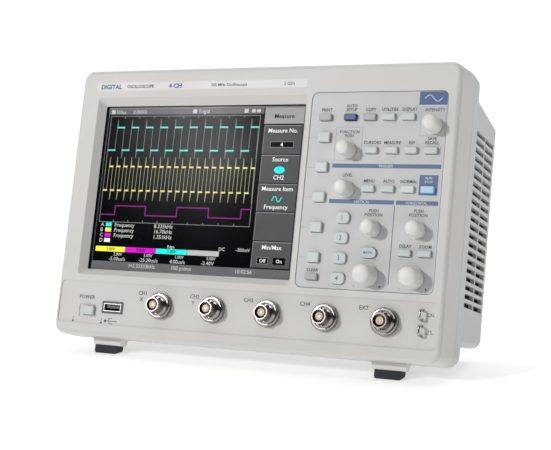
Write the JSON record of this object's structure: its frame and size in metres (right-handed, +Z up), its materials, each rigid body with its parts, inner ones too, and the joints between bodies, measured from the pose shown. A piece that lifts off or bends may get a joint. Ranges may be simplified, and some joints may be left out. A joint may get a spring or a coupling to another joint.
{
  "type": "oscilloscope",
  "caption": "Bench oscilloscope with a colour display, key and knob panel, coaxial inputs, flip-out front legs and a fold-down handle.",
  "frame": {"origin": "on the table, under the middle of the whole instrument's bounding box", "axes": "+Z up, -Y out of the front face, +X to the right as seen from the front; the front face leans back 13.5 degrees"},
  "size_m": [0.286, 0.1342, 0.1975],
  "materials": {
    "case_front": "fine moulded texture",
    "case_rear": "fine moulded texture",
    "panel_face": "printed face",
    "window_clear": "clear, hard-coated",
    "display_black": "dark glass face",
    "board_green": "solder-masked circuit board",
    "switch_black": "moulded",
    "encoder_metal": "pressed",
    "supply_metal": "sheet",
    "chassis_steel": "zinc-plated sheet",
    "fan_black": "moulded",
    "socket_chrome": "polished nickel plate",
    "socket_insulator": "turned polymer",
    "usb_black": "moulded",
    "hook_metal": "tinned wire",
    "plate_metal": "brushed",
    "inlet_black": "moulded",
    "rubber_dark": "matt",
    "screw_steel": "zinc-plated",
    "key_white": "satin",
    "key_gray": "satin",
    "key_blue": "satin",
    "key_lit": "translucent, lit",
    "knob_white": "satin, fine flutes"
  },
  "bodies": {
    "case": {"front_bezel": "case_front", "rear_cover": "case_rear", "control_panel": "panel_face", "display_window": "window_clear", "display_module": "display_black", "key_board": "board_green", "key_switches": "switch_black", "rotary_encoders": "encoder_metal", "main_board": "board_green", "power_supply": "supply_metal", "chassis_plate": "chassis_steel", "fan_frame": "fan_black", "bnc_shells": "socket_chrome", "bnc_cores": "socket_insulator", "usb_socket": "usb_black", "calibrator_hooks": "hook_metal", "rear_io_plate": "plate_metal", "mains_inlet": "inlet_black", "rear_feet": "rubber_dark", "case_screws": "screw_steel"},
    "print_key": {"print_key": "key_gray"},
    "auto_setup_key": {"auto_setup_key": "key_blue"},
    "copy_key": {"copy_key": "key_gray"},
    "utilities_key": {"utilities_key": "key_white"},
    "display_key": {"display_key": "key_white"},
    "cursors_key": {"cursors_key": "key_white"},
    "measure_key": {"measure_key": "key_white"},
    "reference_key": {"reference_key": "key_white"},
    "save_recall_key": {"save_recall_key": "key_white"},
    "trigger_menu_key": {"trigger_menu_key": "key_white"},
    "auto_key": {"auto_key": "key_white"},
    "normal_key": {"normal_key": "key_white"},
    "run_stop_key": {"run_stop_key": "key_lit"},
    "delay_key": {"delay_key": "key_white"},
    "zoom_key": {"zoom_key": "key_white"},
    "clear_key": {"clear_key": "key_gray"},
    "soft_key_1": {"soft_key_1": "key_white"},
    "soft_key_2": {"soft_key_2": "key_white"},
    "soft_key_3": {"soft_key_3": "key_white"},
    "soft_key_4": {"soft_key_4": "key_white"},
    "soft_key_5": {"soft_key_5": "key_white"},
    "channel_1_key": {"channel_1_key": "key_white"},
    "channel_2_key": {"channel_2_key": "key_white"},
    "channel_3_key": {"channel_3_key": "key_white"},
    "channel_4_key": {"channel_4_key": "key_white"},
    "math_key": {"math_key": "key_white"},
    "power_key": {"power_key": "key_white"},
    "function_knob": {"function_knob": "knob_white"},
    "trigger_level_knob": {"trigger_level_knob": "knob_white"},
    "vertical_position_knob": {"vertical_position_knob": "knob_white"},
    "horizontal_position_knob": {"horizontal_position_knob": "knob_white"},
    "intensity_knob": {"intensity_knob": "knob_white"},
    "vertical_scale_knob": {"vertical_scale_knob": "knob_white"},
    "horizontal_scale_knob": {"horizontal_scale_knob": "knob_white"},
    "left_tilt_leg": {"tilt_leg_left": "case_front", "leg_pad_left": "rubber_dark"},
    "right_tilt_leg": {"tilt_leg_right": "case_front", "leg_pad_right": "rubber_dark"},
    "handle": {"carrying_handle": "case_rear"},
    "fan_rotor": {"fan_rotor": "fan_black"}
  },
  "joints": [
    {"name": "print_key_press", "type": "slide", "parent": "case", "child": "print_key", "axis": [0, 0.9724, -0.2334], "range_m": [0, 0.001], "stiffness_N_per_m": 200, "springref_m": -0.001},
    {"name": "auto_setup_key_press", "type": "slide", "parent": "case", "child": "auto_setup_key", "axis": [0, 0.9724, -0.2334], "range_m": [0, 0.001], "stiffness_N_per_m": 200, "springref_m": -0.001},
    {"name": "copy_key_press", "type": "slide", "parent": "case", "child": "copy_key", "axis": [0, 0.9724, -0.2334], "range_m": [0, 0.001], "stiffness_N_per_m": 200, "springref_m": -0.001},
    {"name": "utilities_key_press", "type": "slide", "parent": "case", "child": "utilities_key", "axis": [0, 0.9724, -0.2334], "range_m": [0, 0.001], "stiffness_N_per_m": 200, "springref_m": -0.001},
    {"name": "display_key_press", "type": "slide", "parent": "case", "child": "display_key", "axis": [0, 0.9724, -0.2334], "range_m": [0, 0.001], "stiffness_N_per_m": 200, "springref_m": -0.001},
    {"name": "cursors_key_press", "type": "slide", "parent": "case", "child": "cursors_key", "axis": [0, 0.9724, -0.2334], "range_m": [0, 0.001], "stiffness_N_per_m": 200, "springref_m": -0.001},
    {"name": "measure_key_press", "type": "slide", "parent": "case", "child": "measure_key", "axis": [0, 0.9724, -0.2334], "range_m": [0, 0.001], "stiffness_N_per_m": 200, "springref_m": -0.001},
    {"name": "reference_key_press", "type": "slide", "parent": "case", "child": "reference_key", "axis": [0, 0.9724, -0.2334], "range_m": [0, 0.001], "stiffness_N_per_m": 200, "springref_m": -0.001},
    {"name": "save_recall_key_press", "type": "slide", "parent": "case", "child": "save_recall_key", "axis": [0, 0.9724, -0.2334], "range_m": [0, 0.001], "stiffness_N_per_m": 200, "springref_m": -0.001},
    {"name": "trigger_menu_key_press", "type": "slide", "parent": "case", "child": "trigger_menu_key", "axis": [0, 0.9724, -0.2334], "range_m": [0, 0.001], "stiffness_N_per_m": 200, "springref_m": -0.001},
    {"name": "auto_key_press", "type": "slide", "parent": "case", "child": "auto_key", "axis": [0, 0.9724, -0.2334], "range_m": [0, 0.001], "stiffness_N_per_m": 200, "springref_m": -0.001},
    {"name": "normal_key_press", "type": "slide", "parent": "case", "child": "normal_key", "axis": [0, 0.9724, -0.2334], "range_m": [0, 0.001], "stiffness_N_per_m": 200, "springref_m": -0.001},
    {"name": "run_stop_key_press", "type": "slide", "parent": "case", "child": "run_stop_key", "axis": [0, 0.9724, -0.2334], "range_m": [0, 0.001], "stiffness_N_per_m": 200, "springref_m": -0.001},
    {"name": "delay_key_press", "type": "slide", "parent": "case", "child": "delay_key", "axis": [0, 0.9724, -0.2334], "range_m": [0, 0.001], "stiffness_N_per_m": 200, "springref_m": -0.001},
    {"name": "zoom_key_press", "type": "slide", "parent": "case", "child": "zoom_key", "axis": [0, 0.9724, -0.2334], "range_m": [0, 0.001], "stiffness_N_per_m": 200, "springref_m": -0.001},
    {"name": "clear_key_press", "type": "slide", "parent": "case", "child": "clear_key", "axis": [0, 0.9724, -0.2334], "range_m": [0, 0.001], "stiffness_N_per_m": 200, "springref_m": -0.001},
    {"name": "soft_key_1_press", "type": "slide", "parent": "case", "child": "soft_key_1", "axis": [0, 0.9724, -0.2334], "range_m": [0, 0.001], "stiffness_N_per_m": 200, "springref_m": -0.001},
    {"name": "soft_key_2_press", "type": "slide", "parent": "case", "child": "soft_key_2", "axis": [0, 0.9724, -0.2334], "range_m": [0, 0.001], "stiffness_N_per_m": 200, "springref_m": -0.001},
    {"name": "soft_key_3_press", "type": "slide", "parent": "case", "child": "soft_key_3", "axis": [0, 0.9724, -0.2334], "range_m": [0, 0.001], "stiffness_N_per_m": 200, "springref_m": -0.001},
    {"name": "soft_key_4_press", "type": "slide", "parent": "case", "child": "soft_key_4", "axis": [0, 0.9724, -0.2334], "range_m": [0, 0.001], "stiffness_N_per_m": 200, "springref_m": -0.001},
    {"name": "soft_key_5_press", "type": "slide", "parent": "case", "child": "soft_key_5", "axis": [0, 0.9724, -0.2334], "range_m": [0, 0.001], "stiffness_N_per_m": 200, "springref_m": -0.001},
    {"name": "channel_1_key_press", "type": "slide", "parent": "case", "child": "channel_1_key", "axis": [0, 0.9724, -0.2334], "range_m": [0, 0.001], "stiffness_N_per_m": 200, "springref_m": -0.001},
    {"name": "channel_2_key_press", "type": "slide", "parent": "case", "child": "channel_2_key", "axis": [0, 0.9724, -0.2334], "range_m": [0, 0.001], "stiffness_N_per_m": 200, "springref_m": -0.001},
    {"name": "channel_3_key_press", "type": "slide", "parent": "case", "child": "channel_3_key", "axis": [0, 0.9724, -0.2334], "range_m": [0, 0.001], "stiffness_N_per_m": 200, "springref_m": -0.001},
    {"name": "channel_4_key_press", "type": "slide", "parent": "case", "child": "channel_4_key", "axis": [0, 0.9724, -0.2334], "range_m": [0, 0.001], "stiffness_N_per_m": 200, "springref_m": -0.001},
    {"name": "math_key_press", "type": "slide", "parent": "case", "child": "math_key", "axis": [0, 0.9724, -0.2334], "range_m": [0, 0.001], "stiffness_N_per_m": 200, "springref_m": -0.001},
    {"name": "power_key_press", "type": "slide", "parent": "case", "child": "power_key", "axis": [0, 0.9724, -0.2334], "range_m": [0, 0.002], "stiffness_N_per_m": 200, "springref_m": -0.001},
    {"name": "function_knob_turn", "type": "hinge", "parent": "case", "child": "function_knob", "pos_m": [0.0688, -0.03003, 0.14197], "axis": [0, 0.9724, -0.2334], "continuous": true},
    {"name": "trigger_level_knob_turn", "type": "hinge", "parent": "case", "child": "trigger_level_knob", "pos_m": [0.0699, -0.03594, 0.11737], "axis": [0, 0.9724, -0.2334], "continuous": true},
    {"name": "vertical_position_knob_turn", "type": "hinge", "parent": "case", "child": "vertical_position_knob", "pos_m": [0.0898, -0.04175, 0.09315], "axis": [0, 0.9724, -0.2334], "continuous": true},
    {"name": "horizontal_position_knob_turn", "type": "hinge", "parent": "case", "child": "horizontal_position_knob", "pos_m": [0.1192, -0.04173, 0.09325], "axis": [0, 0.9724, -0.2334], "continuous": true},
    {"name": "intensity_knob_turn", "type": "hinge", "parent": "case", "child": "intensity_knob", "pos_m": [0.1246, -0.02627, 0.15762], "axis": [0, 0.9724, -0.2334], "continuous": true},
    {"name": "vertical_scale_knob_turn", "type": "hinge", "parent": "case", "child": "vertical_scale_knob", "pos_m": [0.0893, -0.04868, 0.06427], "axis": [0, 0.9724, -0.2334], "continuous": true},
    {"name": "horizontal_scale_knob_turn", "type": "hinge", "parent": "case", "child": "horizontal_scale_knob", "pos_m": [0.1191, -0.04873, 0.06408], "axis": [0, 0.9724, -0.2334], "continuous": true},
    {"name": "left_tilt_leg_fold", "type": "hinge", "parent": "case", "child": "left_tilt_leg", "pos_m": [-0.104, -0.03877, 0.01562], "axis": [1, 0, 0], "range_deg": [0, 88]},
    {"name": "right_tilt_leg_fold", "type": "hinge", "parent": "case", "child": "right_tilt_leg", "pos_m": [0.1035, -0.03877, 0.01562], "axis": [1, 0, 0], "range_deg": [0, 88]},
    {"name": "handle_swing", "type": "hinge", "parent": "case", "child": "handle", "pos_m": [0, 0.02737, 0.17971], "axis": [1, 0, 0], "range_deg": [0, 95]},
    {"name": "fan_spin", "type": "hinge", "parent": "case", "child": "fan_rotor", "pos_m": [0.072, -0.03864, 0.10609], "axis": [0, 0.9724, -0.2334], "continuous": true}
  ]
}
